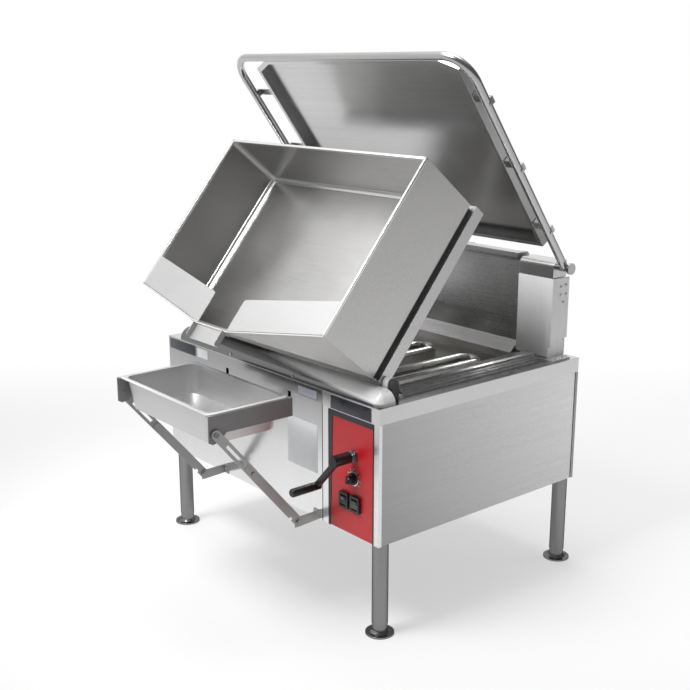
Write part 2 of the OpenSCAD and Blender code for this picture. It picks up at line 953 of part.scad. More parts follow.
// Flat wings that keep the contents off the front corners and leave the spout open
module splash_wing() {
    x0 = spout_gap / 2;
    x1 = pan_w / 2 - pan_wall;
    slope = lip_reach / (x1 - x0);
    front = pan_wall + wing_gap;
    rear_inner = front - lip_reach + wing_d + slope * wing_r - wing_r * sqrt(1 + slope * slope);
    translate([0, 0, pan_h - wing_t])
        linear_extrude(height = wing_t)
            hull() {
                polygon([[x0, front - lip_reach], [x1, front], [x1, front + wing_d]]);
                translate([x0 + wing_r, rear_inner])
                    circle(r = wing_r, $fn = 32);
            }
}

module splash_wings() {
    color(bright)
        tilt_pan()
            both_sides()
                splash_wing();
}

spout_t = 3;

// U-shaped channel fixed to the lip between the wings
module pouring_spout() {
    y0 = -lip_reach - 0.5;
    y1 = -lip_reach - spout_len;
    half = spout_gap / 2;
    color(bright)
        tilt_pan() {
            box([-half, y1, pan_h - 6], [half, y0, pan_h - 3]);
            box([-half, y0 - 3, pan_h - 26], [half, y0, pan_h - 6]);
            both_sides()
                plate_x(half - spout_t, spout_t) {
                    translate([y1 + 9, pan_h + cheek_h - 15])
                        circle(r = 9);
                    polygon([[y0, pan_h - 6], [y0, pan_h + cheek_h - 6], [y1 + 9, pan_h + cheek_h - 6],
                             [y1, pan_h + cheek_h - 15], [y1, pan_h + 2], [y1 + 8, pan_h - 6]]);
                }
        }
}

// Insulation strip in the recess, set in from the walls
module pan_insulation() {
    inset = 8;
    color(black)
        tilt_pan()
            difference() {
                translate([-pan_w / 2 + inset, inset, -recess_h])
                    cube([pan_w - 2 * inset, pan_d - 2 * inset, recess_h]);
                translate([-pan_w / 2 + inset + 24, inset + 24, -recess_h - 1])
                    cube([pan_w - 2 * inset - 48, pan_d - 2 * inset - 48, recess_h + 2]);
            }
}

// Skirt round the pan's base, turned in at the top and the bottom
module base_casing() {
    t = 3;
    color(steel)
        tilt_pan()
            difference() {
                translate([-casing_w / 2, 0, casing_v])
                    cube([casing_w, pan_d + casing_out / 2, casing_h]);
                translate([-casing_w / 2 + t, t, casing_v + t])
                    cube([casing_w - 2 * t, pan_d + casing_out / 2 - 2 * t, casing_h - 2 * t]);
                translate([-casing_w / 2 + 48, 36, casing_v - 1])
                    cube([casing_w - 96, pan_d - 66, casing_h + 2]);
                tilt_pin(casing_w / 2 - 60, casing_w / 2 + 1, trunnion_d + 2 * run_gap);
            }
}

module tilt_pin(x0, x1, d) {
    both_sides()
        bar_x(x0, x1, pivot_u, pivot_v, d);
}

// Trunnion pins, each with a boss inside the casing
module trunnion_pins() {
    color(dark)
        tilt_pan() {
            tilt_pin(casing_w / 2 - 42, chain_x + 8, trunnion_d);
            both_sides()
                translate([casing_w / 2 - 33, pivot_u + 8, pivot_v + 1])
                    cube([18, 24, 28], center = true);
        }
}

lid_sheet_t = 1.5;

// XY outline of the lid sheet, with its two front corners cut off
module lid_outline(inset) {
    w = lid_w / 2 - inset;
    y1 = lid_back + lid_len - inset;
    cut_x = 72;
    cut_y = 32;
    polygon([[-w, lid_back + inset], [w, lid_back + inset], [w, y1 - cut_y], [w - cut_x, y1],
             [-w + cut_x, y1], [-w, y1 - cut_y]]);
}

// Shallow inverted tray with turned-in edges
module lid_sheet() {
    color(steel)
        open_lid()
            translate([0, 0, lid_lift])
                difference() {
                    linear_extrude(height = lid_edge_h)
                        lid_outline(0);
                    translate([0, 0, -1])
                        linear_extrude(height = lid_edge_h + 1 - lid_sheet_t)
                            lid_outline(14);
                    translate([0, 0, lid_sheet_t])
                        linear_extrude(height = lid_edge_h - 2 * lid_sheet_t)
                            lid_outline(lid_sheet_t);
                }
}

// The run of the bent tube: up one side, across the front and down the other
module lid_tube_run(from, d) {
    w = lid_tube_w / 2;
    r = lid_corner_r;
    both_sides() {
        translate([w, from, 0])
            rotate([-90, 0, 0])
                cylinder(h = lid_tube_len - r - from, d = d);
        translate([w - r, lid_tube_len - r, 0])
            rotate_extrude(angle = 90)
                translate([r, 0])
                    circle(d = d);
    }
    translate([-w + r, lid_tube_len, 0])
        rotate([0, 90, 0])
            cylinder(h = 2 * (w - r), d = d);
}

// Bent tube that is the lid's frame and its handle
module lid_frame_tube() {
    w = lid_tube_w / 2;
    color(bright)
        open_lid()
            difference() {
                lid_tube_run(2, lid_tube_d);
                lid_tube_run(1, lid_tube_d - 2 * lid_tube_wall);
                both_sides()
                    bar_x(sleeve_x0, sleeve_x1, 0, 0, sleeve_d + 2 * run_gap);
                for (s = [-1, 1], y = standoff_y)
                    translate([s * w, y, 0])
                        rotate([0, 90, 0])
                            cylinder(h = 60, d = 6 + 2 * run_gap, center = true);
            }
}

standoff_y = [155, 410, 662];

// Hinge sleeves with their pins, at the lower ends of the tube
module lid_sleeves() {
    color(steel)
        open_lid()
            both_sides() {
                bar_x(sleeve_x0, sleeve_x1, 0, 0, sleeve_d);
                difference() {
                    bar_x(sleeve_x1 - 9, sleeve_x1, 0, 0, sleeve_d + 12);
                    bar_y(lid_tube_w / 2, 0, 40, 0, lid_tube_d + 1);
                }
                bar_x(sleeve_x0 - 110, sleeve_x0, 0, 0, pin_d);
            }
}

sleeve_x0 = tower_x + tower_w / 2 + face_gap;
sleeve_x1 = lid_tube_w / 2 + 30;
sleeve_d = 26;

// Brackets that hold the sheet to the tube, each with its bolt
module lid_standoffs() {
    x0 = lid_w / 2;
    x1 = lid_tube_w / 2;
    color(steel)
        open_lid()
            both_sides()
                for (y = standoff_y) {
                    box([x0, y - 12, lid_lift + 2], [x0 + 3, y + 12, lid_lift + lid_edge_h - 4]);
                    box([x0 + 3, y - 12, lid_lift + 2], [x1 + 6, y + 12, lid_lift + 5]);
                    box([x1 - 6, y - 12, lid_tube_d / 2], [x1 + 6, y + 12, lid_lift + 2]);
                    translate([x1 - lid_tube_d / 2 - 3, y, 0])
                        rotate([0, 90, 0])
                            cylinder(h = lid_tube_d + 6, d = 6);
                    translate([x1 + lid_tube_d / 2, y, 0])
                        rotate([0, 90, 0])
                            cylinder(h = 4, d = 11);
                }
}

module crank_shaft() {
    color(steel)
        bar_y(crank_x, hub_y, front_y + 66, crank_z, shaft_d);
}

// Cranked arm with its hub, in the plane in front of the panel
module crank_arm() {
    color(black)
        difference() {
            union() {
                bar_y(crank_x, crank_end, front_y - 20, crank_z, 36);
                translate([crank_x, hub_y - 6, crank_z])
                    rotate([0, 270 - crank_rest, 0])
                        arm_blade();
                bar_y(grip_x, hub_y - 22, hub_y + 6, grip_z, 26);
            }
            bar_y(crank_x, hub_y, front_y - 10, crank_z, shaft_d);
            bar_y(grip_x, hub_y - 30, hub_y + 10, grip_z, 10);
        }
    color(steel)
        bar_y(grip_x, hub_y - 22 - grip_len, hub_y + 4, grip_z, 10);
}

// The crank's blade, from the hub along +Z
module arm_blade() {
    translate([-8, -8, 0])
        cube([16, 18, crank_throw]);
}

module crank_grip() {
    color(black)
        difference() {
            union() {
                bar_y(grip_x, hub_y - 22.5 - grip_len, hub_y - 22.5, grip_z, 27);
                translate([grip_x, hub_y - 22.5 - grip_len, grip_z])
                    rotate([90, 0, 0])
                        cylinder(h = 4, d1 = 27, d2 = 20);
            }
            bar_y(grip_x, hub_y - 23 - grip_len, hub_y - 20, grip_z, 10 + 2 * run_gap);
        }
}

// Knob with a finger bar, a skirt and the spindle
module thermostat_knob() {
    color(black) {
        bar_y(knob_x, front_y - 7, front_y - 3, knob_z, knob_d);
        bar_y(knob_x, front_y - 22, front_y - 7, knob_z, knob_d - 12);
        translate([knob_x, front_y - 22, knob_z])
            rotate([0, 35, 0])
                cube([8, 10, knob_d - 12], center = true);
    }
    color(steel)
        bar_y(knob_x, front_y - 3, front_y + 39, knob_z, 6);
}

// Rocker with two sloping faces on a cross pin
module rocker(x) {
    w = rocker_size[0] - 1;
    h = rocker_size[1] / 2 - 1;
    color(black) {
        translate([x - w / 2, 0, 0])
            rotate([90, 0, 90])
                linear_extrude(height = w)
                    translate([front_y - 2, rocker_z])
                        polygon([[3, -7], [3, 7], [-6, h - 2], [-13, h - 3], [-9, 0], [-8, -h + 3], [-3, -h + 2]]);
        bar_x(x - w / 2 - 2, x + w / 2 + 2, front_y - 2, rocker_z, rocker_pin_d);
    }
}

module rocker_left() {
    rocker(rocker_x[0]);
}

module rocker_right() {
    rocker(rocker_x[1]);
}

// Arm coordinates: X sideways, Y along the arm from its foot, Z square to it
module along_arm() {
    translate([0, foot_y, foot_z])
        rotate([180 - arm_angle, 0, 0])
            children();
}

module bar_outline(y0, y1, w) {
    translate([y0, 0])
        circle(d = w);
    translate([y1, 0])
        circle(d = w);
    translate([y0, -w / 2])
        square([y1 - y0, w]);
}

module lower_arm() {
    difference() {
        plate_x(arm_x, arm_t)
            difference() {
                bar_outline(0, bar_len, arm_w);
                translate([32, arm_w / 2])
                    square([16, 14], center = true);
            }
        bar_x(arm_x - 1, arm_x + arm_t + 1, 0, 0, bolt_d + 2 * run_gap);
    }
    bar_x(arm_x + arm_t, arm_x + 2 * arm_t + 4, bar_len - 8, 0, 12);
}

module lower_arms() {
    color(steel)
        rack_sides()
            along_arm()
                lower_arm();
}

// The upper part of each arm is slotted, so that its length can be set
module slotted_link() {
    x0 = arm_x + arm_t;
    difference() {
        plate_x(x0, arm_t)
            difference() {
                bar_outline(bar_len - 8, arm_len, arm_w);
                bar_outline(bar_len + 24, arm_len - 58, 10);
            }
        bar_x(x0 - 1, x0 + arm_t + 1, arm_len, 0, bolt_d + 2 * run_gap);
        bar_x(x0 - 1, x0 + arm_t + 1, bar_len - 8, 0, 12);
    }
    bar_x(x0 - 2, x0 + arm_t + 3, bar_len + 24, 0, 12);
}

module slotted_links() {
    color(steel)
        rack_sides()
            along_arm()
                slotted_link();
}

rail_len = tray_l + 12;

// Rails with a ledge for the pan's rim, a folded outer lip and a front plate at the pivot
module rack_rail() {
    y0 = tray_front - 4;
    x0 = rail_x;
    difference() {
        union() {
            box([x0, y0, rail_z - rail_h], [x0 + rail_t, y0 + rail_len, rail_z]);
            box([x0 - 12, y0 + 2, rail_z - 3], [x0, y0 + rail_len, rail_z]);
            plate_x(x0, rail_t)
                polygon([[y0, rail_z], [y0, top_z - 22], [y0 + 14, top_z - 30], [y0 + 40, top_z - 24],
                         [y0 + 62, rail_z - rail_h], [y0 + 62, rail_z]]);
        }
        bar_x(x0 - 1, x0 + rail_t + 1, top_y, top_z, bolt_d);
    }
    bar_x(x0 - 4, x0, top_y, top_z, 15);
    bar_x(x0, arm_x + 2 * arm_t + 1, top_y, top_z, bolt_d);
    bar_x(x0 + rail_t, arm_x + arm_t - face_gap, top_y, top_z, 14);
    bar_x(arm_x + 2 * arm_t + 1, arm_x + 2 * arm_t + 5, top_y, top_z, 15);
}

module rack_rails() {
    color(steel) {
        rack_sides()
            rack_rail();
        box([tray_x - rail_x, tray_front + tray_l + 2, rail_z - rail_h],
            [tray_x + rail_x, tray_front + tray_l + 8, rail_z - rail_h + 20]);
    }
}

tray_rim = 13;
tray_taper = 12;

module tray_section(w, l, r, z) {
    translate([tray_x, tray_front + tray_l / 2, z])
        linear_extrude(height = eps)
            rounded_rect(w, l, r, $fn = 32);
}

// Round-cornered pan with tapered walls and a flat rim
module receiving_pan() {
    w = tray_w - 2 * tray_rim;
    l = tray_l - 2 * tray_rim;
    t = 1.5;
    color(bright)
        difference() {
            union() {
                hull() {
                    tray_section(w, l, 30, tray_z - 1);
                    tray_section(w - 2 * tray_taper, l - 2 * tray_taper, 40, tray_z - tray_h);
                }
                translate([tray_x, tray_front + tray_l / 2, tray_z - 3 + seat_gap])
                    linear_extrude(height = 3 - seat_gap)
                        rounded_rect(tray_w, tray_l, 20);
            }
            hull() {
                tray_section(w - 2 * t, l - 2 * t, 29, tray_z + 1);
                tray_section(w - 2 * tray_taper - 2 * t, l - 2 * tray_taper - 2 * t, 38, tray_z - tray_h + t);
            }
        }
}

side_panel_left();
side_panel_right();
front_panel();
control_frame();
back_panel();
base_pan();
deck();
bull_nose();
curb_rails();
well_liner();
legs();
leg_sockets();
flanged_feet();
burner_loops();
gas_manifold();
gas_valve();
gas_inlet();
flue_riser();
tower_housings();
tower_caps();
tower_brackets();
lid_springs();
bearing_blocks();
tilt_gearbox();
chain_case();
crank_bush();
control_bezel();
control_panel();
thermostat_body();
switch_guards();
rack_brackets();
panel_screws();
cord_gland();
pan_shell();
splash_wings();
pouring_spout();
pan_insulation();
base_casing();
trunnion_pins();
lid_sheet();
lid_frame_tube();
lid_sleeves();
lid_standoffs();
crank_shaft();
crank_arm();
crank_grip();
thermostat_knob();
rocker_left();
rocker_right();
lower_arms();
slotted_links();
rack_rails();
receiving_pan();
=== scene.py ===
# Looks of the tilting skillet: finishes, detail pieces, floor, light and camera.
import math

import bmesh
import bpy
from mathutils import Matrix, Vector


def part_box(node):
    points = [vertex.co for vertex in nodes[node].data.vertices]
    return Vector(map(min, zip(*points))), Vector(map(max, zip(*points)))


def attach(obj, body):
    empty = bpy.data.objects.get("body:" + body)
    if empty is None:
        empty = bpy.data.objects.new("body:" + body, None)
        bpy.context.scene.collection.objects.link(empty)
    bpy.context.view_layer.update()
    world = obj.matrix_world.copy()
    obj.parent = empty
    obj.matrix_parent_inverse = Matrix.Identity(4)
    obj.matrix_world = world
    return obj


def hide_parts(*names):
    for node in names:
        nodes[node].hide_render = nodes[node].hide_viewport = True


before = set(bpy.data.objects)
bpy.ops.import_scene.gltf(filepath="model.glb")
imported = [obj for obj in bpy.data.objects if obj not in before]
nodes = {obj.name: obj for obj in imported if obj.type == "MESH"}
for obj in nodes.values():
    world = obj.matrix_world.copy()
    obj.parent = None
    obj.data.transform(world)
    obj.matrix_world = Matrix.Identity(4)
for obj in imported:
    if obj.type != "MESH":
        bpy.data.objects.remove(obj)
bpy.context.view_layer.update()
MM = 0.001

# The camera stands at the front right, a little above the rim of the pan
CAMERA_AT = (2.8147, -2.4446, 1.6986)
CAMERA_YAW = 50.16
CAMERA_DOWN = 14.45
CAMERA_LENS = 56.68
CAMERA_SENSOR = 36

FLOOR_SIZE = 40
FLOOR_TONE = 0.9
FLOOR_GLOW = 0.5             # share of the floor's white that is its own near the object
FLOOR_AWAY = (-0.77, 0.64, 0)    # the way that the camera looks, over the floor
FLOOR_FADE = (0.4, 2.6)      # metres along it where that share starts to rise and is full
WORLD_BASE = 0.12
# Direction, the cosines where the light starts and is full, and its strength
WORLD_LOBES = (
    ((-0.77, 0.64, 0.03), 0.62, 0.93, 0.88),
    ((-0.75, -0.42, 0.55), 0.5, 0.92, 0.72),
    ((-0.2, 0.1, 1.0), 0.55, 0.95, 0.4),
)
# Name, place, aim, size, watts and spread in degrees
LAMPS = (
    ("key", (-0.3, -2.2, 3.6), (0, 0, 0.7), (1.6, 1.2), 22, 66),
    ("top", (-0.3, 0.2, 3.8), (0, 0, 0), (2.0, 2.0), 14, 80),
    ("rear", (2.0, 2.8, 2.2), (1.9, 2.3, 0), (1.2, 1.2), 9, 90),
)


# Materials
RANGE_SOCKETS = ("From Min", "From Max", "To Min", "To Max")


def math_node(tree, operation, a, b):
    """A math node fed with plain numbers or sockets."""
    made = tree.nodes.new("ShaderNodeMath")
    made.operation = operation
    for socket, item in zip(made.inputs, (a, b)):
        if isinstance(item, (int, float)):
            socket.default_value = item
        else:
            tree.links.new(item, socket)
    return made.outputs["Value"]


def range_node(tree, value, limits, smooth=False):
    """The value mapped by from min, from max, to min, to max, with soft ends where smooth is set."""
    made = tree.nodes.new("ShaderNodeMapRange")
    if smooth:
        made.interpolation_type = "SMOOTHSTEP"
    for key, number in zip(RANGE_SOCKETS, limits):
        made.inputs[key].default_value = number
    tree.links.new(value, made.inputs["Value"])
    return made.outputs["Result"]


def dot_node(tree, coords, direction):
    """How far the coordinates reach along a direction."""
    made = tree.nodes.new("ShaderNodeVectorMath")
    made.operation = "DOT_PRODUCT"
    tree.links.new(coords, made.inputs[0])
    made.inputs[1].default_value = direction
    return made.outputs["Value"]


class Shader:
    """A node material on one Principled shader, with short helpers for its nodes."""

    def __init__(self, name):
        self.mat = bpy.data.materials.new(name)
        self.mat.use_nodes = True
        self.tree = self.mat.node_tree
        self.bsdf = self.tree.nodes["Principled BSDF"]
        self.coords = self.node("ShaderNodeTexCoord").outputs["Object"]

    def node(self, kind, **values):
        made = self.tree.nodes.new(kind)
        for key, value in values.items():
            setattr(made, key, value)
        return made

    def link(self, source, target):
        self.tree.links.new(source, target)

    def set(self, **values):
        for key, value in values.items():
            self.bsdf.inputs[key.replace("_", " ")].default_value = value

    def noise(self, scale, stretch=(1, 1, 1), detail=2.0, rough=0.5):
        """Noise in object space, stretched along the axes, with its values round 0.5."""
        mapping = self.node("ShaderNodeMapping")
        mapping.inputs["Scale"].default_value = stretch
        self.link(self.coords, mapping.inputs["Vector"])
        tex = self.node("ShaderNodeTexNoise")
        tex.inputs["Scale"].default_value = scale
        tex.inputs["Detail"].default_value = detail
        tex.inputs["Roughness"].default_value = rough
        self.link(mapping.outputs["Vector"], tex.inputs["Vector"])
        return tex.outputs["Fac"]

    def ramp(self, value, *limits):
        return range_node(self.tree, value, limits)

    def along(self, direction, *limits):
        """A ramp along a direction in object space, in metres."""
        return self.ramp(dot_node(self.tree, self.coords, Vector(direction).normalized()), *limits)

    def math(self, operation, a, b):
        return math_node(self.tree, operation, a, b)

    def tint(self, color, factor):
        """The colour times a varying factor, into the base colour."""
        made = self.node("ShaderNodeMix", data_type="RGBA", blend_type="MULTIPLY")
        made.inputs["Factor"].default_value = 1.0
        made.inputs[6].default_value = (*color, 1)
        self.link(factor, made.inputs[7])
        self.link(made.outputs[2], self.bsdf.inputs["Base Color"])

    def bump(self, height, distance, strength, edge):
        """A fine relief, with the edges rounded by a radius to the eye."""
        made = self.node("ShaderNodeBump")
        made.inputs["Strength"].default_value = strength
        made.inputs["Distance"].default_value = distance
        self.link(height, made.inputs["Height"])
        bevel = self.node("ShaderNodeBevel", samples=4)
        bevel.inputs["Radius"].default_value = edge
        self.link(bevel.outputs["Normal"], made.inputs["Normal"])
        self.link(made.outputs["Normal"], self.bsdf.inputs["Normal"])


BRUSH = {"X": (1, 60, 60), "Y": (60, 1, 60), "Z": (60, 60, 1)}   # stretch of the streaks that run along an axis
WARM_GREEN = 0.4        # share of the warm shift that the green takes
STEEL_BUMP = (0.0002, 0.12, 0.0012)      # depth in metres, strength, edge radius in metres
PLASTIC_BUMP = (0.6, 0.0008)             # strength, edge radius in metres


def steel(name, tone, rough, brush, metallic=0.96, cloud=0.12, streak=0.06, warm=0.0, rim=None, painted_light=None,
          matt=None):
    """Brushed stainless steel: fine streaks along one axis over a soft cloudy sheen.

    painted_light paints light and shade, a slow change of tone along a direction: direction, start, end, first
    and last factor. matt changes the metallic share that way. rim is the tint of the sheen that the surface has
    where it turns away.
    """
    s = Shader(name)
    s.set(Metallic=metallic)
    if rim is not None:
        s.set(Specular_Tint=(rim, rim, rim, 1))
    fine = s.noise(7.0, BRUSH[brush], 3.0, 0.7)
    coarse = s.noise(1.6, BRUSH[brush], 2.0, 0.6)
    clouds = s.noise(2.6, (1, 1, 1), 3.0, 0.55)
    level = s.math("ADD", s.ramp(coarse, 0.25, 0.75, -streak / 2, streak / 2),
                   s.ramp(clouds, 0.3, 0.7, 1 - cloud / 2, 1 + cloud / 2))
    # painted light and shade: the tone is raised or lowered along a direction
    if painted_light:
        level = s.math("MULTIPLY", level, s.along(*painted_light))
    if matt:
        s.link(s.along(*matt), s.bsdf.inputs["Metallic"])
    s.tint((tone + warm, tone + warm * WARM_GREEN, tone - warm), level)
    rough_mix = s.math("ADD", s.ramp(fine, 0.2, 0.8, rough - 0.03, rough + 0.04),
                       s.ramp(clouds, 0.3, 0.7, -0.04, 0.04))
    s.link(rough_mix, s.bsdf.inputs["Roughness"])
    s.bump(fine, *STEEL_BUMP)
    return s.mat


def plastic(name, color, rough, grain=900.0, depth=0.0001, spread=0.15):
    """Moulded plastic or enamel with a fine grain and a slight change of gloss."""
    s = Shader(name)
    grains = s.noise(grain)
    patches = s.noise(18.0, detail=3.0)
    s.tint(color, s.ramp(patches, 0.3, 0.7, 1 - spread, 1 + spread))
    s.link(s.ramp(patches, 0.3, 0.7, rough - 0.07, rough + 0.08), s.bsdf.inputs["Roughness"])
    s.bump(grains, depth, *PLASTIC_BUMP)
    return s.mat


UP = (0, 0, 1)
ACROSS = (1, 0, 0)
BACK = (0, 1, 0)
# The edge of the nose's painted highlight: a line across the nose that falls to the right
NOSE_HIGHLIGHT_WAY = (0.06, 0, 1)           # up, and a little to the right: the streak widens that way
PAN_BACKWARD = (0, 0.6347, 0.7727)   # back along the tilted pan's floor

# painted light and shade: the side steel darkens towards the front and bottom and is up to twice as light
# towards the back and top
side_steel = steel("side_steel", 0.43, 0.3, "Y", cloud=0.06, painted_light=((0, 0.7, 0.7), -0.05, 0.75, 0.74, 1.5))
# painted shade: the front panel's tone falls to 0.57 times towards its top
front_steel = steel("front_steel", 0.72, 0.16, "Z", cloud=0.08, streak=0.04, painted_light=(UP, 0.5, 0.72, 1.0, 0.57))
frame_steel = steel("frame_steel", 0.74, 0.24, "Z", cloud=0.06)
deck_steel = steel("deck_steel", 0.6, 0.24, "X")
# painted highlight and shade on the nose: below that line the tone is halved, above it 2.3 times as light and
# nearly matt
nose_steel = steel("nose_steel", 0.42, 0.2, "X", cloud=0.08, painted_light=(NOSE_HIGHLIGHT_WAY, 0.772, 0.781, 0.5, 2.3),
                   matt=(NOSE_HIGHLIGHT_WAY, 0.772, 0.781, 0.97, 0.15))
# painted shade: the back panel's steel is kept dark for the shadow of its recess behind the side panels
back_steel = steel("back_steel", 0.3, 0.3, "Z")
# painted shade: the pan's steel is darker at and near its left wall
pan_steel = steel("pan_steel", 0.56, 0.3, "X", warm=0.006, painted_light=(ACROSS, -0.5, -0.25, 0.8, 1.02),
                  matt=(PAN_BACKWARD, 0.3628, 0.364, 0.25, 0.98))
# painted highlight: lighter than the pan's steel, for bright lines along the pan's rim and inner fillets
rim_highlight_steel = steel("rim_highlight_steel", 0.8, 0.3, "Y", cloud=0.04)
wing_steel = steel("wing_steel", 0.46, 0.5, "X", metallic=0.8, cloud=0.04, streak=0.03)
casing_steel = steel("casing_steel", 0.56, 0.28, "Y")
# painted light and shade: the lid darkens low down and is lighter high up
lid_steel = steel("lid_steel", 0.56, 0.2, "X", cloud=0.1, painted_light=(UP, 1.15, 1.55, 0.55, 1.14))
cap_steel = steel("cap_steel", 0.64, 0.3, "X", cloud=0.06)
tube_steel = steel("tube_steel", 0.52, 0.18, "Z", cloud=0.08)
leg_steel = steel("leg_steel", 0.24, 0.22, "Z", cloud=0.08, rim=0.25)
rack_steel = steel("rack_steel", 0.38, 0.38, "Y", metallic=0.7)
rail_steel = steel("rail_steel", 0.26, 0.5, "Y", metallic=0.35)
# painted light: the receiving pan's front wall is up to 1.5 times as light as the rest
tray_steel = steel("tray_steel", 0.62, 0.36, "X", cloud=0.1, painted_light=(BACK, -0.85, -0.838, 1.5, 1.04),
                   matt=(ACROSS, 0.27, 0.285, 0.9, 0.25))
riser_steel = steel("riser_steel", 0.52, 0.28, "X", metallic=0.85, cloud=0.2)
tower_steel = steel("tower_steel", 0.97, 0.5, "Z", metallic=0.15, cloud=0.06)
well_steel = steel("well_steel", 0.55, 0.34, "X", cloud=0.3, warm=0.012)
burner_steel = steel("burner_steel", 0.6, 0.26, "Y", cloud=0.3, warm=0.014)
screw_steel = steel("screw_steel", 0.5, 0.25, "Z", cloud=0.05)
bush_steel = steel("bush_steel", 0.2, 0.35, "X", cloud=0.05)
skirt_steel = steel("skirt_steel", 0.62, 0.2, "X", cloud=0.05)
dark_iron = plastic("dark_iron", (0.05, 0.05, 0.052), 0.5, 500.0, 0.0002)
black_plastic = plastic("black_plastic", (0.014, 0.014, 0.016), 0.38)
ridge_plastic = plastic("ridge_plastic", (0.09, 0.09, 0.092), 0.45)
black_enamel = plastic("black_enamel", (0.012, 0.012, 0.014), 0.24, 300.0)
plate_black = plastic("plate_black", (0.02, 0.021, 0.03), 0.3, 500.0, 0.00004, 0.25)
label_white = plastic("label_white", (0.78, 0.79, 0.8), 0.5, 800.0, 0.00003, 0.02)
label_grey = plastic("label_grey", (0.5, 0.5, 0.58), 0.45, 700.0, 0.00003, 0.05)
mark_white = plastic("mark_white", (0.75, 0.7, 0.7), 0.5, 800.0, 0.00003, 0.05)
groove_black = plastic("groove_black", (0.02, 0.02, 0.02), 0.8, 400.0)
# painted shade: this dark steel on the pan's insulation stands for the shadow in the groove between pan and
# casing
groove_shade_steel = steel("groove_shade_steel", 0.22, 0.4, "Y", metallic=0.7)
red_enamel = plastic("red_enamel", (0.47, 0.01, 0.015), 0.36, 700.0, 0.00006, 0.06)

FINISH = {
    "side_panel_left": side_steel, "side_panel_right": side_steel, "front_panel": front_steel,
    "control_frame": frame_steel, "back_panel": back_steel, "base_pan": side_steel, "deck": deck_steel,
    "bull_nose": nose_steel, "curb_rails": casing_steel, "well_liner": well_steel, "legs": leg_steel,
    "leg_sockets": dark_iron, "flanged_feet": leg_steel, "burner_loops": burner_steel,
    "gas_manifold": dark_iron, "gas_valve": dark_iron, "gas_inlet": dark_iron, "flue_riser": riser_steel,
    "tower_housings": tower_steel, "tower_caps": cap_steel, "tower_brackets": tower_steel,
    "lid_springs": dark_iron, "bearing_blocks": tower_steel, "tilt_gearbox": dark_iron,
    "chain_case": dark_iron, "crank_bush": bush_steel, "control_bezel": black_plastic,
    "control_panel": red_enamel, "thermostat_body": dark_iron, "switch_guards": black_plastic,
    "rack_brackets": rack_steel, "panel_screws": screw_steel, "cord_gland": black_plastic,
    "pan_shell": pan_steel, "splash_wings": wing_steel, "pouring_spout": wing_steel,
    "pan_insulation": groove_shade_steel, "base_casing": casing_steel, "trunnion_pins": screw_steel,
    "lid_sheet": lid_steel, "lid_frame_tube": tube_steel, "lid_sleeves": tube_steel,
    "lid_standoffs": tube_steel, "crank_shaft": screw_steel, "crank_arm": black_enamel,
    "crank_grip": black_plastic, "thermostat_knob": black_plastic, "rocker_left": black_plastic,
    "rocker_right": black_plastic, "lower_arms": rack_steel, "slotted_links": rack_steel,
    "rack_rails": rail_steel, "receiving_pan": tray_steel,
}
for node_name, finish in FINISH.items():
    for material_slot in nodes[node_name].material_slots:
        material_slot.material = finish


# Detail pieces, in millimetres, each riding on the body that carries it
TURN = {"X": Matrix.Rotation(math.radians(90), 4, "Y"), "Y": Matrix.Rotation(math.radians(90), 4, "X"),
        "Z": Matrix.Identity(4)}
WAY = {"X": Vector((1, 0, 0)), "Z": Vector((0, 0, 1))}
SHARP = math.radians(32)    # edges that turn by more than this stay sharp
BEVEL_FROM = 0.6            # radians that an edge turns by before it is softened


def finish_piece(bm, name, body, material, smooth=True):
    """Turns the mesh in hand into a named object that rides on a body."""
    mesh = bpy.data.meshes.new(name)
    bm.to_mesh(mesh)
    bm.free()
    mesh.materials.append(material)
    if smooth:
        for face in mesh.polygons:
            face.use_smooth = True
        mesh.set_sharp_from_angle(angle=SHARP)
    obj = bpy.data.objects.new(name, mesh)
    bpy.context.scene.collection.objects.link(obj)
    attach(obj, body)
    return obj


class Piece:
    """One mesh object built up from blocks and discs."""

    def __init__(self, name, body, material):
        self.name, self.body, self.material = name, body, material
        self.bm = bmesh.new()

    def _soften(self, verts, edge):
        if edge:
            edges = {e for v in verts for e in v.link_edges
                     if len(e.link_faces) == 2 and e.calc_face_angle(0) > BEVEL_FROM}
            bmesh.ops.bevel(self.bm, geom=list(edges), offset=edge * MM, segments=2, affect="EDGES",
                            profile=0.6)

    def block(self, lo, hi, edge=0.0, turn=None, about=(0, 0, 0)):
        middle = Vector([(a + b) / 2 * MM for a, b in zip(lo, hi)])
        size = Vector([(b - a) * MM for a, b in zip(lo, hi)])
        place = Matrix.Translation(middle) @ Matrix.Diagonal((*size, 1))
        if turn is not None:
            centre = Vector(about) * MM
            place = Matrix.Translation(centre) @ turn @ Matrix.Translation(-centre) @ place
        made = bmesh.ops.create_cube(self.bm, size=1, matrix=place)
        self._soften(made["verts"], edge)

    def disc(self, at, axis, radius, depth, sides=24, edge=0.0):
        place = Matrix.Translation(Vector(at) * MM) @ TURN[axis]
        made = bmesh.ops.create_cone(self.bm, cap_ends=True, segments=sides, radius1=radius * MM,
                                     radius2=radius * MM, depth=depth * MM, matrix=place)
        self._soften(made["verts"], edge)

    def bolt(self, at, axis, sign, size):
        """A washer and a hex head on the face at that point; sign is the way the face looks."""
        step = WAY[axis] * sign
        self.disc(Vector(at) + step * 0.5, axis, size * 1.3, 1.2, 28, 0.3)
        self.disc(Vector(at) + step * (1.0 + size * 0.35), axis, size, size * 0.7, 6, 0.5)
        self.disc(Vector(at) + step * (1.1 + size * 0.7), axis, size * 0.72, 0.5, 24, 0.1)

    def done(self):
        return finish_piece(self.bm, self.name, self.body, self.material)


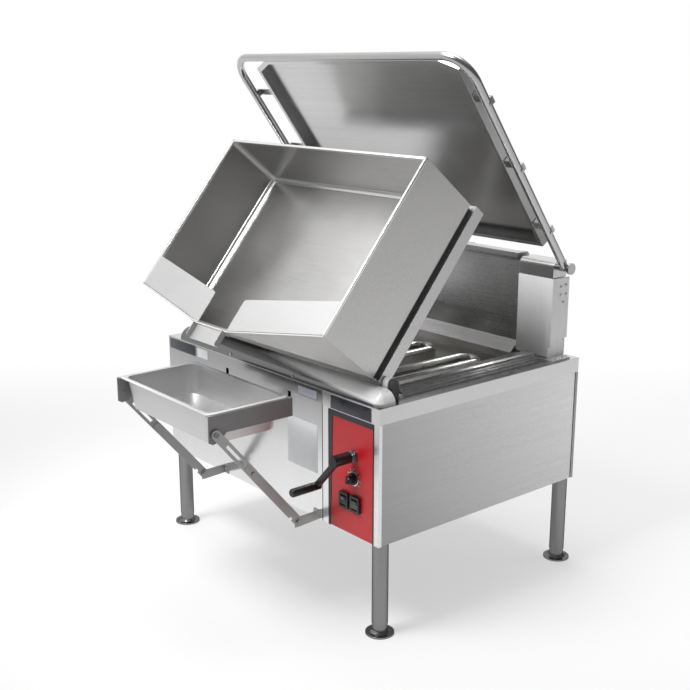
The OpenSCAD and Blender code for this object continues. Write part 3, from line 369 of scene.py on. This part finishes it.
def cove(name, body, material, turn, edges, radius):
    """Hollow fillets along inner edges: each edge has its two ends and the two ways into the room."""
    bm = bmesh.new()
    steps = 10
    for start, end, first, second in edges:
        rows = []
        for point in (start, end):
            corner = Vector(point)
            row = [bm.verts.new(turn @ (corner * MM))]
            for i in range(steps + 1):
                a = math.radians(90 * i / steps)
                shift = Vector(first) * (1 - math.sin(a)) + Vector(second) * (1 - math.cos(a))
                row.append(bm.verts.new(turn @ ((corner + shift * radius) * MM)))
            rows.append(row)
        near, far = rows
        for i in range(len(near)):
            j = (i + 1) % len(near)
            bm.faces.new((near[i], near[j], far[j], far[i]))
        bm.faces.new(near)
        bm.faces.new(far)
    bmesh.ops.recalc_face_normals(bm, faces=bm.faces)
    finish_piece(bm, name, body, material)


# The pan's own coordinates: X across, Y back from its front edge, Z up from its base
PAN_TURN = (Matrix.Translation((0, -0.368, 0.789)) @ Matrix.Rotation(math.radians(50.6), 4, "X")
            @ Matrix.Translation((0, -0.014, 0.04)))
PAN_X, PAN_BACK, PAN_TOP, PAN_WALL, PAN_FLOOR = 501.5, 621, 245, 4, 6
COVE_RADIUS = 15
RIM_WIDTH = 9
RIM_PROUD = 0.4     # how far the folded rim stands out from the wall
RIM_EDGE = 2.5
RECESS = 15         # height of the dark recess between the pan and its casing

in_x, in_back = PAN_X - PAN_WALL, PAN_BACK - PAN_WALL
cove_top = PAN_TOP - 8
pan_edges = [((side * in_x, PAN_WALL, PAN_FLOOR), (side * in_x, in_back, PAN_FLOOR), (-side, 0, 0), UP)
             for side in (-1, 1)]
pan_edges.append(((-in_x, in_back, PAN_FLOOR), (in_x, in_back, PAN_FLOOR), (0, -1, 0), UP))
pan_edges += [((side * in_x, in_back, PAN_FLOOR), (side * in_x, in_back, cove_top), (-side, 0, 0), (0, -1, 0))
              for side in (-1, 1)]
cove("pan_coves", "pan", rim_highlight_steel, PAN_TURN, pan_edges, COVE_RADIUS)

out_x, out_back, out_top = PAN_X + RIM_PROUD, PAN_BACK + RIM_PROUD, PAN_TOP + RIM_PROUD
rim_low = PAN_TOP - RIM_WIDTH
rim = Piece("pan_rim", "pan", rim_highlight_steel)
for side in (-1, 1):
    x0, x1 = sorted((side * out_x, side * (PAN_X - RIM_WIDTH)))
    rim.block((x0, 6, rim_low), (x1, out_back, out_top), RIM_EDGE, PAN_TURN)
rim.block((-out_x, PAN_BACK - RIM_WIDTH, rim_low), (out_x, out_back, out_top), RIM_EDGE, PAN_TURN)
rim.done()
strip = Piece("casing_front_strip", "pan", casing_steel)
strip.block((-507, -0.5, -RECESS - 1), (507, 2.5, -1.2), 0.6, PAN_TURN)
strip.done()


def make_nose(name, x0, x1, y0, z0, height, depth, corner, sheet=1.5):
    """The rolled nose: a quarter-round section carried round the corner of its plan, drawn as a sheet."""
    bm = bmesh.new()
    rows = []
    roll_steps, corner_steps = 16, 8
    for step in range(roll_steps + 1):
        a = math.radians(90 * step / roll_steps)
        inset, rise = height * (1 - math.cos(a)), height * math.sin(a)
        radius = max(corner - inset, 0.5)
        cx, cy = x1 - inset - radius, y0 + inset + radius
        row = [(x0, y0 + inset)]
        for i in range(corner_steps + 1):
            b = math.radians(90 * i / corner_steps)
            row.append((cx + radius * math.sin(b), cy - radius * math.cos(b)))
        row.append((x1 - inset, y0 + depth))
        rows.append([bm.verts.new(Vector((x, y, z0 + rise)) * MM) for x, y in row])
    *crest, last = rows[-1]
    rows.append([bm.verts.new(Vector((v.co.x, (y0 + depth) * MM, v.co.z))) for v in crest] + [last])
    for low, high in zip(rows, rows[1:]):
        for i in range(len(low) - 1):
            corners = [low[i], low[i + 1], high[i + 1], high[i]]
            bm.faces.new(list(dict.fromkeys(corners)))
    bmesh.ops.recalc_face_normals(bm, faces=bm.faces)
    bmesh.ops.solidify(bm, geom=bm.faces[:], thickness=sheet * MM)
    obj = finish_piece(bm, name, "cabinet", nose_steel)
    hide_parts("bull_nose")


make_nose("rolled_nose", -501.5, 583.5, -453.3, 735, 43, 64, 28)

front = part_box("front_panel")[0].y / MM
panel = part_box("control_panel")[0].y / MM
knob_x, _, knob_z = (c / MM for c in sum(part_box("thermostat_knob"), Vector((0, 0, 0))) / 2)
knob_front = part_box("thermostat_knob")[0].y / MM
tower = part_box("tower_housings")[1].x / MM
PLATE_RIM = 1.6


def plate(name, x0, x1, z0, z1, material, thick=0.8, rim=None):
    """A thin plate on the front of the cabinet, with a rim of another finish where one is named."""
    if rim:
        border = Piece(name + "_rim", "cabinet", rim)
        border.block((x0 - PLATE_RIM, front - thick * 0.6, z0 - PLATE_RIM),
                     (x1 + PLATE_RIM, front, z1 + PLATE_RIM), 0.2)
        border.done()
    made = Piece(name, "cabinet", material)
    made.block((x0, front - thick, z0), (x1, front, z1), 0.25)
    made.done()


plate("plate_right", 360, 549, 687, 730, plate_black, rim=label_grey)
plate("plate_left", -576, -402, 691, 730, plate_black, rim=label_grey)
plate("label_small", -390, -324, 694, 727, label_white)
plate("label_data", 197, 292, 695, 722, label_grey, rim=plate_black)
plate("label_sheet", 141, 294, 453, 613, label_white, 0.4)
seam = Piece("panel_seam", "cabinet", groove_black)
seam.block((317.6, front - 0.25, 303), (320.6, front + 1, 690))
seam.done()


def flat_piece(name, outline, y0, y1, material, replaced):
    """A flat piece on the front, drawn by its outline in X and Z, in place of a CAD node."""
    bm = bmesh.new()
    near = [bm.verts.new(Vector((x, y0, z)) * MM) for x, z in outline]
    far = [bm.verts.new(Vector((x, y1, z)) * MM) for x, z in outline]
    bm.faces.new(near)
    bm.faces.new(far)
    for i in range(len(near)):
        j = (i + 1) % len(near)
        bm.faces.new((near[i], near[j], far[j], far[i]))
    bmesh.ops.recalc_face_normals(bm, faces=bm.faces)
    obj = finish_piece(bm, name, "cabinet", material, smooth=False)
    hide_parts(replaced)


# The black border of the red panel: wide at the top left, narrow down the right
BORDER = ((350, 303), (360, 303), (372, 667), (557.5, 667), (557.5, 303), (560, 303), (560, 683), (350, 683))
flat_piece("panel_border", BORDER, front - 2, front, black_plastic, "control_bezel")

# Tick marks on the panel round the knob, the knob's metal skirt and its pointer
TICKS, TICK_FIRST, TICK_STEP = 9, -128, 32
marks = Piece("dial_marks", "cabinet", mark_white)
for step in range(TICKS):
    turn = Matrix.Rotation(math.radians(TICK_FIRST + step * TICK_STEP), 4, "Y")
    marks.block((knob_x - 0.9, panel - 0.35, knob_z + 27), (knob_x + 0.9, panel + 0.2, knob_z + 31.5),
                0.0, turn, (knob_x, panel, knob_z))
marks.done()
skirt = Piece("knob_skirt", "knob", skirt_steel)
skirt.disc((knob_x, panel - 1.7, knob_z), "Y", 23.5, 1.8, 48, 0.5)
skirt.done()
pointer = Piece("knob_pointer", "knob", mark_white)
pointer.block((knob_x - 0.8, knob_front - 0.3, knob_z + 5), (knob_x + 0.8, knob_front + 1.2, knob_z + 13),
              0.2, Matrix.Rotation(math.radians(35), 4, "Y"), (knob_x, knob_front, knob_z))
pointer.done()

# Domed screws on the nose and in the rack's brackets
screws = Piece("domed_screws", "cabinet", screw_steel)
for x in (-181, 168):
    screws.disc((x, front + 0.8, 745), "Y", 5.5, 4, edge=1.2)
for x in (-222, 285):
    screws.disc((x, front - 4.2, 317), "Y", 5, 3.6, edge=1.2)
screws.done()
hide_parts("panel_screws")

# Ridges on the right rocker and a mark on the left one
RIDGES = 6
lo, hi = (Vector(c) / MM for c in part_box("rocker_right"))
ridges = Piece("rocker_right_ridges", "rocker_right", ridge_plastic)
for i in range(RIDGES):
    x = lo.x + (hi.x - lo.x) * (i + 0.5) / RIDGES
    ridges.block((x - 2.2, hi.y - 12, lo.z + 3), (x + 2.2, hi.y - 6, hi.z - 3), 0.6)
ridges.done()
lo, hi = (Vector(c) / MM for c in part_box("rocker_left"))
x = (lo.x + hi.x) / 2
mark = Piece("rocker_left_ridges", "rocker_left", mark_white)
mark.block((x - 0.7, lo.y - 0.1, hi.z - 10), (x + 0.7, lo.y + 5, hi.z - 5), 0.2)
mark.done()

# Bolts in the towers' outer sides and in their foot brackets
tower_bolts = Piece("tower_bolts", "cabinet", screw_steel)
for side in (-1, 1):
    for y, z in ((382, 984), (406, 988), (380, 956), (408, 957), (395, 930)):
        tower_bolts.bolt((side * tower, y, z), "X", side, 3.2)
    for y in (352, 410):
        tower_bolts.bolt((side * (tower + 12), y, 738), "Z", 1, 4.0)
tower_bolts.done()


# Floor, light and camera
def make_floor():
    """A pale floor that keeps the shadow; far off it glows to white for camera, glossy and transmission rays."""
    mesh = bpy.data.meshes.new("floor")
    half = FLOOR_SIZE / 2
    corners = [(-half, -half, 0), (half, -half, 0), (half, half, 0), (-half, half, 0)]
    mesh.from_pydata(corners, [], [(0, 1, 2, 3)])
    floor = bpy.data.objects.new("floor", mesh)
    bpy.context.scene.collection.objects.link(floor)
    s = Shader("floor_white")
    s.set(Roughness=0.9, Specular_IOR_Level=0.1)
    s.tint((FLOOR_TONE, FLOOR_TONE, FLOOR_TONE), s.ramp(s.noise(0.6), 0.3, 0.7, 0.995, 1.005))
    path = s.node("ShaderNodeLightPath").outputs
    seen = s.math("MAXIMUM", path["Is Camera Ray"],
                  s.math("MAXIMUM", path["Is Glossy Ray"], path["Is Transmission Ray"]))
    far = range_node(s.tree, dot_node(s.tree, s.coords, FLOOR_AWAY), (*FLOOR_FADE, FLOOR_GLOW, 1.0), True)
    glow = s.node("ShaderNodeEmission")
    glow.inputs["Strength"].default_value = 1.0
    mix = s.node("ShaderNodeMixShader")
    s.link(s.math("MULTIPLY", seen, far), mix.inputs[0])
    s.link(s.bsdf.outputs[0], mix.inputs[1])
    s.link(glow.outputs[0], mix.inputs[2])
    s.link(mix.outputs[0], s.tree.nodes["Material Output"].inputs["Surface"])
    mesh.materials.append(s.mat)


def make_world():
    """A studio: white behind the object, a broad soft light above and to the left, dark to the right."""
    world = bpy.data.worlds.new("studio")
    bpy.context.scene.world = world
    world.use_nodes = True
    tree = world.node_tree
    ways = tree.nodes.new("ShaderNodeTexCoord").outputs["Generated"]
    total = 0.0
    for direction, low, high, strength in WORLD_LOBES:
        towards = dot_node(tree, ways, Vector(direction).normalized())
        total = math_node(tree, "ADD", range_node(tree, towards, (low, high, 0.0, strength), True), total)
    back = tree.nodes["Background"]
    level = math_node(tree, "MINIMUM", math_node(tree, "ADD", total, WORLD_BASE), 1.0)
    tree.links.new(level, back.inputs["Strength"])
    back.inputs["Color"].default_value = (1, 1, 1, 1)


def make_lamp(name, at, aim, size, watts, spread):
    data = bpy.data.lights.new(name, "AREA")
    data.shape = "RECTANGLE"
    data.size, data.size_y = size
    data.energy = watts
    data.spread = math.radians(spread)
    lamp = bpy.data.objects.new(name, data)
    bpy.context.scene.collection.objects.link(lamp)
    lamp.location = at
    lamp.rotation_euler = (Vector(aim) - Vector(at)).to_track_quat("-Z", "Y").to_euler()


def make_camera():
    data = bpy.data.cameras.new("camera")
    data.sensor_width = CAMERA_SENSOR
    data.lens = CAMERA_LENS
    camera = bpy.data.objects.new("camera", data)
    bpy.context.scene.collection.objects.link(camera)
    camera.location = CAMERA_AT
    camera.rotation_euler = (math.radians(90 - CAMERA_DOWN), 0, math.radians(CAMERA_YAW))
    bpy.context.scene.camera = camera


make_floor()
make_world()
for lamp_values in LAMPS:
    make_lamp(*lamp_values)
make_camera()
bpy.context.scene.view_settings.view_transform = "Standard"
